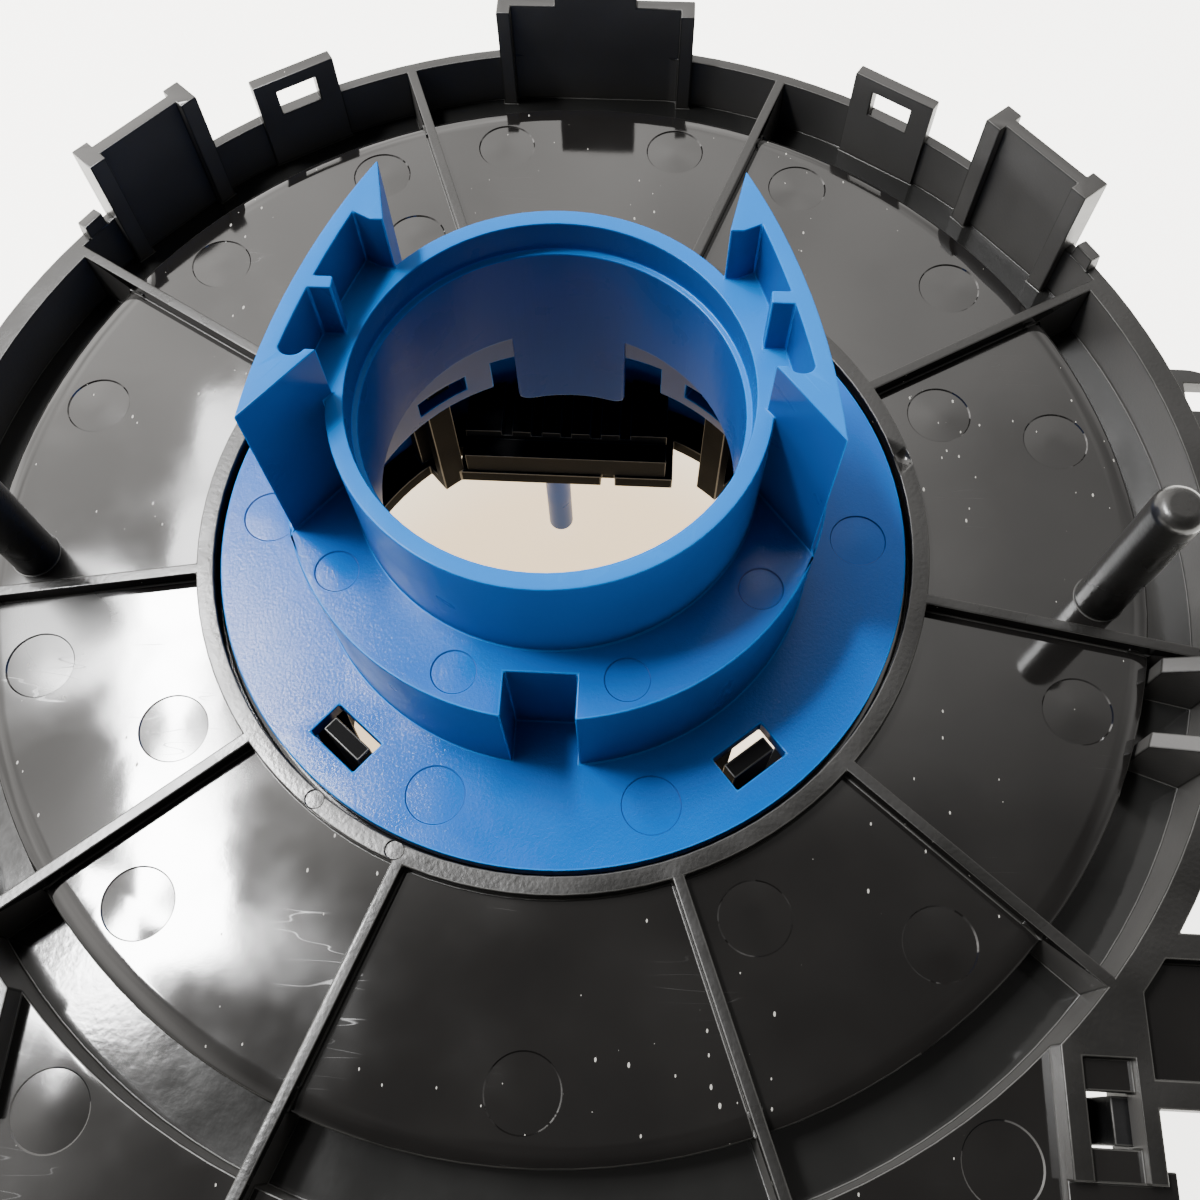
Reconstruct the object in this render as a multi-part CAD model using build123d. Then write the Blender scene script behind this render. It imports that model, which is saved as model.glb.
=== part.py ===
from build123d import *
import os
from math import cos, radians, sin, tan

# Steering clock spring.  The ribbed rear cover and the front housing stay with the steering column, the
# blue hub and the front rotor turn with the wheel, and a spiral flat cable joins the two circuits.
# Lengths are mm and angles are degrees counter-clockwise from +X.  +Z is the hub axis, towards the
# column.  The origin is on that axis, level with the top of the hub's step, inside the collar bore.
# The rear side is the +Z side.  Most forms are mirrored about the YZ plane.

# ---- fits
clearance = 0.3            # between parts that only lie side by side
running_gap = 0.4          # between faces that pass each other as the hub turns
bearing_gap = 0.1          # radial, drum in the rear cover
pin_gap = 0.05             # radial, index pin in its hole
root = 1.0                 # how far a fused form reaches into what carries it
past = 1.0                 # how far a cut runs past a face

# ---- hub collar, step and cams
bore_radius = 15.2
counterbore_radius = 15.7
counterbore_depth = 3.1
collar_radius = 17.1
collar_height = 11.4       # above the step
step_radius = 22.9
step_height = 12.0         # above the flange
step_wall = 1.5
step_plate = 2.5
cam_height = 17.0          # above the step
cam_wall = 1.4
cam_tip = (14.3, 16.5)
cam_bulge = (19.2, 4.4)
cam_corner = (21.3, -7.5)
cam_leg = (13.1, 10.6)     # foot of the tip's inner face
cam_leg_width = 1.0
cam_pocket_end = -1.4      # y of the lower end of the pocket
cam_dip_width = 1.9        # rounded dip at that end, beside the wall
cam_dip_depth = 0.6
cam_heel = 0.7             # extra wall beside the dip
cam_nub_y = 4.6
cam_nub_size = 1.1
notch_width = 5.8
notch_radius = 19.0
notch_wall = 1.5
tab_width = 10.4
tab_thickness = 1.8
tab_drop = 10.0            # below the step plate
tab_corner = 1.4

# ---- hub flange, skirt and drum
flange_lip = 1.0           # beyond the drum
flange_thickness = 1.8
catch_hole_length = 5.4    # along the rim
catch_hole_depth = 3.4     # along the radius
catch_hole_inset = 2.2     # from the drum's inner wall to the middle
catch_hole_offset = 39.4   # from the Y axis
skirt_drop = 4.2           # below the flange
skirt_start = 24.0         # from +Y
skirt_end = 76.0
window_offset = 39.5       # middle of the skirt window, from +Y
window_spread = 15.0
window_height = 2.1
window_drop = 0.6          # below the flange
drum_radius = 31.0
drum_wall = 1.2
drum_depth = 20.4          # below the flange

# ---- rear cover
ring_gap = 0.5             # between flange edge and inner ring
ring_width = 1.6
ring_rise = 0.5            # above the flange
plate_thickness = 1.8
bearing_height = 1.2       # bearing for the drum
plate_depth = 1.5          # below the rib tops
band_width = 8.0           # from the plate's edge to the rim's outer face
band_drop = 4.5            # below the plate
rim_radius = 62.4
rim_wall = 1.25
rim_pad = 1.1              # extra wall below the upper pair of ribs
rim_pad_start = 60.0       # from +Y
rim_skirt = 4.0            # below the band
rib_thickness = 1.0
rib_offsets = (20.0, 50.0, 80.0, 120.0, 160.0)   # from -Y
apron_drop = 2.0           # below the flange
apron_arc_wall = 1.3
apron_half_width = 41.5
apron_length = 15.6        # from the rim's circle to the lower edge
apron_corner = 4.0
apron_wall = 1.2

# ---- towers on the upper rim
tower_inset = 0.4          # from the rim's outer face
tower_wall = 1.4
rail_offset = 49.0         # from +Y
rail_width = 13.4
rail_height = 8.5          # above the flange
rail_flange_depth = 3.2
rail_flange_width = 1.9
loop_offset = 32.3
loop_width = 9.4
loop_height = 5.4
loop_window_width = 4.6
loop_window_low = 0.9
loop_window_height = 3.0
crown_width = 21.8
crown_height = 7.0
crown_flange_depth = 2.6
crown_flange_width = 1.5
crown_tongue_width = 9.0
crown_tongue_height = 12.0
lug_width = 2.4
lug_height = 1.6
lug_offset = 57.3          # from +Y

# ---- side flanges, ears, posts and latches
side_low = -27.0
side_high = 24.6
side_width = 6.1           # beyond the rim
side_corner = 5.0
side_slot = (63.3, 66.7)
side_slot_low = 19.5
side_slot_high = 22.9
side_rib_pitch = 12.0
side_rib_depth = 2.0       # below the flange
side_rib_inset = 1.0       # from the flange's edge
ear_middle = -41.1
ear_half_width = 6.6
ear_end = 63.6
ear_frame = 2.1            # width of the raised edge
ear_recess = 2.0           # depth inside it
ear_hole_x = 57.0
ear_hole_radius = 2.3
post_x = 49.6
post_y = -4.5
post_radius = 2.2
post_height = 17.0         # above the flange
fin_offsets = (78.0, 70.5)  # from -Y
fin_setback = 0.5          # from the step between plate and band
fin_reach = 2.25           # beyond the rim
fin_top = 3.0              # flat length of the upper edge
fin_thickness = 1.5
fin_rise = 6.0
latch_low = -53.0
latch_high = -44.2
latch_reach = 7.0
latch_wall = 1.0
latch_strip = 1.6          # between the apron and the window
latch_window_width = 4.1
latch_window_length = 4.0
latch_recess = 1.0         # round the window
latch_lip_length = 2.6
latch_lip_reach = 1.3
latch_lip_drop = 1.5

# ---- front housing
housing_wall = 1.6
housing_floor = 1.8
chamber_depth = 12.7       # from the band's underside to the floor
sleeve_gap = 0.3           # between rim skirt and housing wall
latch_hook_width = 3.6
latch_hook_thickness = 1.1
latch_hook_inset = 4.5     # from the apron's side
latch_nose = 0.5
latch_nose_height = 1.0

# ---- front rotor
rotor_radius = 38.5
rotor_thickness = 2.0
rotor_lip = 1.4            # from the opening to the middle of the dowel legs
shelf_low_x = -14.2        # shelf under the terminal block, on the +Y side
shelf_high_x = 10.8
shelf_edge = 18.5
shelf_notch_x = 3.2
shelf_notch_width = 1.6
shelf_notch_depth = 1.0
hook_width = 4.4
hook_thickness = 1.5
arm_thickness = 1.4
arm_gap = 0.4              # between skirt and catch arm
arm_play = 4.0             # degrees from each end of the skirt window
nose_depth = 1.1
socket_height = 14.3       # below the rotor plate
socket_wall = 1.3
socket_inner_x = 26.4
socket_width = 9.6
socket_half_length = 13.5
key_width = 2.0
key_depth = 0.8
lug_inner = 29.5
lug_outer = 35.5
lug_half_width = 4.5

# ---- connector inserts and contact pins
insert_thickness = 4.0
pin_size = 0.9
rotor_pin_reach = 5.5      # below the insert
rotor_pin_pitch = 3.4
airbag_pins = 4
switch_pins = 6

# ---- index pin, terminal blocks and flat cable
index_radius = 1.5
index_x = -3.0
index_y = 20.6
index_length = 15.4
inner_block_height = 4.9
inner_block_inset = 0.9    # from the ends of the shelf
inner_block_step = 1.6
inner_block_front = 2.4
cable_thickness = 0.3
cable_margin = 0.3         # above the lower sheet
cable_height = 11.2
cable_gap = 2.2            # from drum and chamber wall to the spiral
cable_turns = 7.5
cable_chords = 24          # flats in one turn of the ribbon
cable_exit = 250.0         # angle where the tail leaves the spiral
slot_margin = 0.6
end_plate_thickness = 0.6
end_plate_length = 6.0
sheet_thickness = 0.35
sheet_gap = 2.0            # from the drum
sheet_sides = 36           # straight steps that stand in for the round edges of the thin films
outer_block_low_x = -16.0
outer_block_high_x = 21.0
outer_block_gap = 1.7      # between the housing wall and the block
outer_block_depth = 3.6
lead_width = 1.2
lead_thickness = 0.6

# ---- column connectors on the apron
column_length = 11.0       # along Y
column_height = 12.0
column_base = 1.6
column_wall = 1.3
column_inset = 6.7         # from the apron's lower edge to the middle of the sockets
column_pitch = 2.2         # between neighbouring pins of the two staggered rows
column_row_gap = 3.2
column_margin = 2.0
column_pin_reach = 5.0     # above the base
column_airbag_x = -10.5
column_airbag_pins = 4
column_switch_x = 9.5
column_switch_pins = 8

# ---- levels worked out from the sizes above
flange_top = -step_height
flange_low = flange_top - flange_thickness
drum_low = flange_low - drum_depth
rib_top = flange_top + ring_rise
plate_top = rib_top - plate_depth
plate_low = flange_low - running_gap - bearing_height
band_top = plate_top - band_drop
band_low = band_top - plate_thickness
rim_low = band_low - rim_skirt
floor_top = band_low - chamber_depth
floor_low = floor_top - housing_floor
rotor_low = drum_low - rotor_thickness
face_low = rotor_low - socket_height
apron_top = flange_top - apron_drop
apron_low = band_low
insert_low = rotor_low - insert_thickness
cable_low = floor_top + sheet_thickness + cable_margin
cable_top = cable_low + cable_height
socket_outer_x = socket_inner_x + socket_width
arm_spread = window_spread - 2 * arm_play
latch_middle = (latch_low + latch_high) / 2
latch_top = rib_top - latch_recess - plate_thickness
latch_end = apron_half_width + latch_reach
flange_radius = drum_radius + flange_lip
catch_hole_radius = drum_radius - drum_wall - catch_hole_inset
rotor_opening = catch_hole_radius - rotor_lip
ring_inner = flange_radius + ring_gap
ring_outer = ring_inner + ring_width
rim_inner = rim_radius - rim_wall
band_radius = rim_radius - band_width
apron_arc_radius = rim_inner - rim_pad
apron_reach = rim_radius + apron_length
column_middle_y = column_inset - apron_reach
tower_radius = rim_radius - tower_inset
side_reach = rim_radius + side_width
housing_radius = rim_inner - sleeve_gap
chamber_radius = housing_radius - housing_wall
cable_inner = drum_radius + cable_gap
cable_outer = chamber_radius - cable_gap
cable_pitch = (cable_outer - cable_inner) / cable_turns
column_sockets = ((column_airbag_x, column_airbag_pins), (column_switch_x, column_switch_pins))
far = 4 * rim_radius


# ---- small helpers
def ring(inner, outer, low, high):
    """Flat ring about the hub axis."""
    return Pos(0, 0, low) * extrude(Circle(outer) - Circle(inner), high - low)


def disc(radius, low, high):
    """Flat disc about the hub axis."""
    return Pos(0, 0, low) * extrude(Circle(radius), high - low)


def block(x, y, z):
    """Box between pairs of limits."""
    size = (x[1] - x[0], y[1] - y[0], z[1] - z[0])
    return Pos((x[0] + x[1]) / 2, (y[0] + y[1]) / 2, (z[0] + z[1]) / 2) * Box(*size)


def wedge(middle, spread, low, high):
    """Slice of space about the axis, spread degrees wide."""
    half = far * tan(radians(spread / 2))
    face = make_face(Polyline((0, 0), (far, -half), (far, half), close=True))
    return Rot(0, 0, middle) * Pos(0, 0, low) * extrude(face, high - low)


def arc_wall(inner, outer, middle, spread, low, high):
    """Part of a ring, spread degrees wide."""
    return ring(inner, outer, low, high) & wedge(middle, spread, low, high)


def turned(angle, shape):
    """Shape drawn with +X as its radius, turned to an angle."""
    return Rot(0, 0, angle) * shape


def both_sides(shape):
    """Shape on the +X side and its mirror image."""
    return shape + mirror(shape, about=Plane.YZ)


def spun(points):
    """Solid of revolution from (radius, z) corners."""
    return revolve(make_face(Plane.XZ * Polyline(*points, close=True)), Axis.Z)


# ---- hub
def hub_body():
    """Collar, step, flange and drum as one turned profile."""
    step_inner = step_radius - step_wall
    return spun([
        (bore_radius, -step_plate),
        (bore_radius, collar_height - counterbore_depth),
        (counterbore_radius, collar_height - counterbore_depth),
        (counterbore_radius, collar_height),
        (collar_radius, collar_height),
        (collar_radius, 0),
        (step_radius, 0),
        (step_radius, flange_top),
        (flange_radius, flange_top),
        (flange_radius, flange_low),
        (drum_radius, flange_low),
        (drum_radius, drum_low),
        (drum_radius - drum_wall, drum_low),
        (drum_radius - drum_wall, flange_low),
        (step_inner, flange_low),
        (step_inner, -step_plate),
    ])


def cam_face():
    """Plan outline of one cancelling cam, from the collar to its bulged outer edge."""
    foot = (collar_radius * cos(radians(-7)), collar_radius * sin(radians(-7)))
    edge = ThreePointArc(cam_tip, cam_bulge, cam_corner)
    rest = Polyline(cam_corner, foot, (bore_radius, 0), cam_leg, cam_tip)
    return make_face([edge, rest])


def cam_pocket_face():
    """Plan outline of the pocket between the cam's wall and the collar."""
    leg_x = cam_leg[0] + cam_leg_width
    apex = (leg_x + cam_wall, cam_leg[1] + cam_wall / 2)
    middle = (cam_bulge[0] - cam_wall, cam_bulge[1])
    low = (cam_corner[0] - cam_wall - cam_heel, cam_pocket_end)
    dip = (low[0] - cam_dip_width / 2, cam_pocket_end - cam_dip_depth)
    hook = (low[0] - cam_dip_width, cam_pocket_end)
    wall = ThreePointArc(apex, middle, low)
    turn = ThreePointArc(low, dip, hook)
    rest = Polyline(hook, (0, cam_pocket_end), (0, cam_leg[1]), (leg_x, cam_leg[1]), apex)
    nub = Pos(middle[0] - cam_nub_size / 2, cam_nub_y) * Rectangle(2 * cam_nub_size, cam_nub_size)
    return make_face([wall, turn, rest]) - nub


def cam():
    """One cam on the +X side: crescent wall, solid tip and open pocket, cored from below."""
    body = extrude(cam_face(), cam_height) - disc(counterbore_radius, -past, cam_height + past)
    pocket = Pos(0, 0, collar_height) * extrude(cam_pocket_face(), cam_height)
    return body - pocket


def cam_core():
    """Hollow under one cam, which opens below the step plate."""
    inside = offset(cam_face(), -cam_wall)
    height = step_plate + collar_height - cam_wall
    core = Pos(0, 0, -step_plate) * extrude(inside, height)
    return core - disc(collar_radius, -step_plate - past, collar_height)


def hub_tab():
    """Tab that carries on from the bore wall below the step plate, on the +Y side."""
    low = -step_plate - tab_drop
    shell = ring(bore_radius, bore_radius + tab_thickness, low, -step_plate)
    face = RectangleRounded(tab_width, 2 * tab_drop, tab_corner)
    outline = extrude(Plane.XZ * Pos(0, -step_plate) * face, -far)
    return shell & outline


def hub_skirt():
    """Four windowed skirt pieces below the step wall, two either side of the YZ plane."""
    middle = 90 - (skirt_start + skirt_end) / 2
    low = flange_low - skirt_drop
    piece = arc_wall(step_radius - step_wall, step_radius, middle, skirt_end - skirt_start, low, flange_low)
    high = flange_low - window_drop
    window = arc_wall(step_radius - 2 * step_wall, step_radius + step_wall, 90 - window_offset,
                      window_spread, high - window_height, high)
    pair = both_sides(piece - window)
    return pair + mirror(pair, about=Plane.XZ)


def notch_box():
    """Walls round the index notch in the step, on the -Y side."""
    half = notch_width / 2 + notch_wall
    wall = block((-half, half), (-step_radius, notch_wall - notch_radius), (flange_low, -step_plate / 2))
    return wall & disc(step_radius, flange_low, 0)


def catch_angles():
    """Middles of the four catch holes in the flange."""
    return [90 + sign * catch_hole_offset + turn for turn in (0, 180) for sign in (-1, 1)]


def hub():
    body = hub_body() + both_sides(cam()) - both_sides(cam_core())
    body = body + hub_tab() + hub_skirt() + notch_box()
    body -= block((-notch_width / 2, notch_width / 2), (-far, -notch_radius), (flange_top, past))
    hole = Box(catch_hole_depth, catch_hole_length, 4 * flange_thickness)
    for angle in catch_angles():
        body -= turned(angle, Pos(catch_hole_radius, 0, flange_top) * hole)
    return body


# ---- rear cover
def cover_body():
    """Inner ring, bearing ledge, plate, band and rim as one turned profile."""
    ledge_top = flange_low - running_gap
    bearing = drum_radius + bearing_gap
    return spun([
        (bearing, ledge_top),
        (ring_inner, ledge_top),
        (ring_inner, rib_top),
        (ring_outer, rib_top),
        (ring_outer, plate_top),
        (band_radius, plate_top),
        (band_radius, band_top),
        (rim_inner, band_top),
        (rim_inner, rib_top),
        (rim_radius, rib_top),
        (rim_radius, rim_low),
        (rim_inner, rim_low),
        (rim_inner, band_low),
        (band_radius - plate_thickness, band_low),
        (band_radius - plate_thickness, plate_low),
        (bearing, plate_low),
    ])


def thick_rim():
    """Inner layer of the rim, all round but for the top."""
    low = band_low + root
    layer = ring(apron_arc_radius, rim_inner + rim_wall / 2, low, rib_top)
    return layer - wedge(90, 2 * rim_pad_start, low - past, rib_top + past)


def apron_outline(inset):
    """Plan outline of the tongue-shaped apron, less an inset."""
    half = apron_half_width - inset
    reach = apron_reach - inset
    top = half / 2
    return Pos(0, -(reach + top) / 2) * RectangleRounded(2 * half, reach - top, apron_corner - inset)


def apron():
    """Flat apron below the round plate, with its arc step and turned-down walls."""
    sheet = Pos(0, 0, apron_top - plate_thickness) * extrude(apron_outline(0), plate_thickness)
    edge = apron_outline(0) - apron_outline(apron_wall)
    wall = Pos(0, 0, apron_low) * extrude(edge, apron_top - apron_low)
    step = ring(apron_arc_radius, apron_arc_radius + apron_arc_wall, band_low, apron_top)
    below = block((-far, far), (-far, -apron_half_width), (band_low, apron_top))
    within = Pos(0, 0, band_low) * extrude(apron_outline(0), apron_top - band_low)
    return sheet + wall - disc(apron_arc_radius, rim_low, rib_top) + (step & below & within)


def apron_space():
    """What the apron replaces: the rim and band outside its arc step."""
    height = rib_top - rim_low + 2 * past
    zone = Pos(0, 0, rim_low - past) * extrude(apron_outline(0), height)
    return zone - disc(apron_arc_radius, rim_low - past, rib_top + past)


def ribs():
    """Ten straight ribs from the inner ring to the rim, level with both."""
    half = rib_thickness / 2
    ends = (ring_outer - ring_width / 2, rim_inner + rim_wall / 2)
    rib = block(ends, (-half, half), (band_low + root, rib_top))
    under = (0, band_radius - plate_thickness / 2)
    rib -= block(under, (-rib_thickness, rib_thickness), (-far, plate_low + root))
    return [turned(270 + sign * angle, rib) for angle in rib_offsets for sign in (-1, 1)]


def apron_ribs():
    """The two ribs that run on across the apron."""
    half = rib_thickness / 2
    low = apron_top - root
    rib = block((apron_arc_radius - root, far), (-half, half), (low, rib_top))
    zone = Pos(0, 0, low) * extrude(apron_outline(apron_wall / 2), rib_top - low)
    return [turned(270 + sign * rib_offsets[0], rib) & zone for sign in (-1, 1)]


def flanged_plate(width, height, flange_depth, flange_width, outward):
    """Upright plate with a thicker flange at each end, standing on the band."""
    inner = tower_radius - tower_wall
    top = flange_top + height
    plate = block((inner, tower_radius), (-width / 2, width / 2), (band_low, top))
    if outward:
        depth = (inner - (flange_depth - tower_wall) / 2, tower_radius + (flange_depth - tower_wall) / 2)
    else:
        depth = (tower_radius - flange_depth, tower_radius)
    for sign in (-1, 1):
        edge = sorted((sign * width / 2, sign * (width / 2 - flange_width)))
        plate += block(depth, edge, (band_low, top))
    return plate


def rail_tower():
    """Clip rail on the upper rim, drawn along +X."""
    return flanged_plate(rail_width, rail_height, rail_flange_depth, rail_flange_width, True)


def loop_tower():
    """Latch loop on the upper rim, with its window, drawn along +X."""
    inner = tower_radius - tower_wall
    low = flange_top + loop_window_low
    top = flange_top + loop_height
    plate = block((inner, tower_radius), (-loop_width / 2, loop_width / 2), (band_low, top))
    window = block((inner - 5, tower_radius + 5), (-loop_window_width / 2, loop_window_width / 2),
                   (low, low + loop_window_height))
    return plate, window


def crown():
    """Channel-shaped crown at the top of the rim, with a taller tongue."""
    body = flanged_plate(crown_width, crown_height, crown_flange_depth, crown_flange_width, False)
    inner = tower_radius - tower_wall
    tongue = block((inner, tower_radius), (-crown_tongue_width / 2, crown_tongue_width / 2),
                   (flange_top, flange_top + crown_tongue_height))
    return turned(90, body + tongue)


def side_flange():
    """Flat flange beside the rim on the +X side, stiffened underneath."""
    middle = (side_low + side_high) / 2
    plan = Pos(side_reach / 2, middle) * RectangleRounded(side_reach, side_high - side_low, side_corner)
    shape = Pos(0, 0, band_low) * extrude(plan, plate_thickness)
    y = side_low + side_corner
    while y < side_high:
        shape += block((0, side_reach - side_rib_inset), (y, y + rib_thickness),
                       (band_low - side_rib_depth, band_low + root))
        y += side_rib_pitch
    shape -= block(side_slot, (side_slot_low, side_slot_high), (rim_low, rib_top))
    return shape - disc(rim_radius - rim_wall / 2, rim_low, rib_top)


def ear():
    """Screw ear on the +X side, with a raised edge level with the ribs."""
    low = rib_top - ear_recess - plate_thickness
    floor = rib_top - ear_recess
    inner = latch_end - latch_wall
    body = block((inner, ear_end), (ear_middle - ear_half_width, ear_middle + ear_half_width), (low, rib_top))
    half = ear_half_width - ear_frame
    body -= block((latch_end, ear_end - ear_frame), (ear_middle - half, ear_middle + half), (floor, far))
    hole = extrude(Circle(ear_hole_radius), plate_thickness + 2 * past)
    body -= Pos(ear_hole_x, ear_middle, low - past) * hole
    return body - disc(rim_radius - rim_wall / 2, rim_low, far)


def bridge():
    """Shelf at rim level between the rim, the ear and the latch box, on the +X side."""
    shelf = block((apron_half_width, latch_end), (latch_high - root, ear_middle + ear_half_width),
                  (rib_top - plate_thickness, rib_top))
    return shelf - disc(rim_radius - rim_wall / 2, rim_low, far)


def post():
    """Locating post on the +X side."""
    low = plate_top - root
    return Pos(post_x, post_y, low) * extrude(Circle(post_radius), flange_top + post_height - low)


def fins():
    """Two sloping latch fins beside the post, on the +X side."""
    low = band_top - root
    high = flange_top + fin_rise
    inner = band_radius + fin_setback
    outer = rim_radius + fin_reach
    corners = [(inner, low), (outer, low), (outer, high), (outer - fin_top, high), (inner, rib_top)]
    fin = extrude(Plane.XZ * make_face(Polyline(*corners, close=True)), fin_thickness / 2, both=True)
    return turned(270 + fin_offsets[0], fin) + turned(270 + fin_offsets[1], fin)


def latch_space():
    """Room inside the latch box for the housing's hook."""
    return block((apron_half_width, latch_end - latch_wall),
                 (latch_low + apron_wall, latch_high - apron_wall), (-far, latch_top))


def latch_box():
    """Box-shaped snap latch beside the apron with a lip below it, on the +X side."""
    body = block((apron_half_width, latch_end), (latch_low, latch_high), (apron_low, rib_top))
    inner = apron_half_width - apron_wall / 2
    body += block((inner, latch_end), (latch_low, latch_high), (apron_low, apron_top))
    lip = (apron_half_width, latch_end + latch_lip_reach)
    lip_top = rib_top - latch_lip_drop
    return body + block(lip, (latch_low - latch_lip_length, latch_low + root),
                        (lip_top - plate_thickness, lip_top))


def latch_window():
    """Window over the hook and the recess round it."""
    width = (apron_half_width + latch_strip, apron_half_width + latch_strip + latch_window_width)
    half = latch_window_length / 2
    recess = block(width, (latch_low - past, latch_high), (rib_top - latch_recess, rib_top + past))
    return recess + block(width, (latch_middle - half, latch_middle + half), (latch_top - past, rib_top))


def rear_cover():
    loops, windows = loop_tower()
    lug_span = (-lug_width / 2, lug_width / 2)
    lug = block((rim_inner, rim_radius), lug_span, (rib_top - root, rib_top + lug_height))
    sides = turned(90 - rail_offset, rail_tower()) + turned(90 - loop_offset, loops)
    sides += turned(90 - lug_offset, lug)
    sides += side_flange() + ear() + bridge() + fins() + latch_box() + post()
    body = cover_body() + thick_rim() + ribs() - apron_space() + apron() + apron_ribs()
    body += crown() + both_sides(sides)
    body -= both_sides(turned(90 - loop_offset, windows))
    body -= both_sides(latch_space() + latch_window())
    for middle, count in column_sockets:
        half = count * column_pitch / 2
        depth = column_row_gap / 2 + pin_size
        body -= block((middle - half, middle + half), (column_middle_y - depth, column_middle_y + depth),
                      (apron_low, rib_top))
    return body


# ---- front housing
def housing_plan(inset):
    """Plan of the housing: round chamber with the apron's tongue."""
    return Circle(housing_radius - inset) + apron_outline(inset)


def spiral_point(turns, shift):
    """Plan point of the ribbon, some turns out from its inner end and shifted out from its middle."""
    angle = radians(cable_exit + 360 * (turns - cable_turns))
    radius = cable_inner + turns * cable_pitch + shift
    return radius * cos(angle), radius * sin(angle)


def tail_length():
    """Length of the straight tail, from the spiral to the outer terminal block."""
    lean = radians(cable_exit - 180)
    drop = housing_radius + outer_block_gap - clearance - cable_outer * sin(lean)
    return drop / cos(lean)


def tail_slot():
    """Slot through the chamber wall that the cable's tail runs along."""
    half = cable_thickness / 2 + slot_margin
    slot = block((cable_outer - half, cable_outer + half), (0, tail_length() + housing_wall),
                 (cable_low - slot_margin, cable_top + slot_margin))
    return turned(cable_exit, slot)


def latch_hook():
    """Hook that rises into the cover's latch box, on the +X side."""
    inner = apron_half_width + latch_hook_inset
    outer = inner + latch_hook_thickness
    half = latch_hook_width / 2
    span = (latch_middle - half, latch_middle + half)
    top = latch_top - clearance
    foot = block((apron_half_width - apron_wall, outer), span, (floor_low, apron_low - clearance))
    stem = block((inner, outer), span, (floor_low, top))
    nose = block((inner, outer + latch_nose), span, (top - latch_nose_height, top))
    return foot + stem + nose


def front_housing():
    """Deep tray under the rear cover, with a central opening for the hub's drum."""
    body = Pos(0, 0, floor_low) * extrude(housing_plan(0), apron_low - floor_low)
    body -= disc(chamber_radius, floor_top, apron_low + past)
    tray = Pos(0, 0, floor_top) * extrude(apron_outline(apron_wall), apron_low - floor_top + past)
    body -= tray - disc(housing_radius, floor_top - past, apron_low + 2 * past)
    body -= disc(drum_radius + clearance, floor_low - past, floor_top + past)
    body -= tail_slot()
    return body + both_sides(latch_hook())


# ---- slide sheets and flat cable
def slide_sheet(low):
    """Low-friction film over the floor or under the cover, at a level."""
    plan = RegularPolygon(chamber_radius - clearance, sheet_sides) - RegularPolygon(
        drum_radius + sheet_gap, sheet_sides)
    return Pos(0, 0, low) * extrude(plan, sheet_thickness)


def flat_cable():
    """Ribbon wound in a loose spiral of short flats, with a straight tail to the outer terminal block."""
    half = cable_thickness / 2
    steps = [number / cable_chords for number in range(round(cable_turns * cable_chords) + 1)]
    outside = [spiral_point(turns, half) for turns in steps]
    inside = [spiral_point(turns, -half) for turns in reversed(steps)]
    spiral = make_face(Polyline(*outside, *inside, close=True))
    tail = Pos(cable_outer, tail_length() / 2) * Rectangle(cable_thickness, tail_length())
    return Pos(0, 0, cable_low) * extrude(spiral + turned(cable_exit, tail), cable_height)


def inner_end_plate():
    """Stiffener on the outside of the cable's first flat."""
    shifts = (cable_thickness / 2, cable_thickness / 2 + end_plate_thickness)
    near = [spiral_point(0, shift) for shift in shifts]
    past_flat = [spiral_point(1 / cable_chords, shift) for shift in reversed(shifts)]
    corners = near + past_flat
    return Pos(0, 0, cable_low) * extrude(make_face(Polyline(*corners, close=True)), cable_height)


def outer_end_plate():
    """Stiffener on the outside of the cable's tail, by the terminal block."""
    inner = cable_outer + cable_thickness / 2
    end = tail_length()
    plate = block((inner, inner + end_plate_thickness), (end - end_plate_length, end), (cable_low, cable_top))
    return turned(cable_exit, plate)


# ---- outer terminal block, leads and column connectors
def outer_block_front():
    """Y of the block's face beside the chamber wall."""
    return -(housing_radius + outer_block_gap)


def outer_terminal_block():
    """Block on the tray floor that carries the leads."""
    face = outer_block_front()
    ends = (outer_block_low_x, outer_block_high_x)
    body = block(ends, (face - outer_block_depth, face), (floor_top, cable_top))
    tail = block((0, far), (0, tail_length() + clearance), (cable_low - past, cable_top + past))
    tail = turned(cable_exit, tail)
    return body - (tail & block((-far, far), (face - past, face + past), (-far, 0)))


def pin_places(middle, count):
    """Plan places of staggered pins: (x, y) of each."""
    places = []
    for number in range(count):
        x = middle + (number - (count - 1) / 2) * column_pitch
        row = 1 if number % 2 else -1
        places.append((x, column_middle_y + row * column_row_gap / 2))
    return places


def outer_leads():
    """Flat leads from the terminal block to the foot of each column pin."""
    shape = None
    start = outer_block_front() - outer_block_depth / 3
    for middle, count in column_sockets:
        for x, y in pin_places(middle, count):
            lead = block((x - lead_width / 2, x + lead_width / 2), (y - lead_width / 2, start),
                         (cable_top, cable_top + lead_thickness))
            shape = lead if shape is None else shape + lead
    return shape


def column_terminals(middle, count):
    """Square contact pins of one column connector."""
    low = cable_top + lead_thickness
    top = flange_top + column_base + column_pin_reach
    shape = None
    for x, y in pin_places(middle, count):
        half = pin_size / 2
        pin = block((x - half, x + half), (y - half, y + half), (low, top))
        pin = chamfer(pin.edges().group_by(Axis.Z)[-1], pin_size / 4)
        shape = pin if shape is None else shape + pin
    return shape


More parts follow.
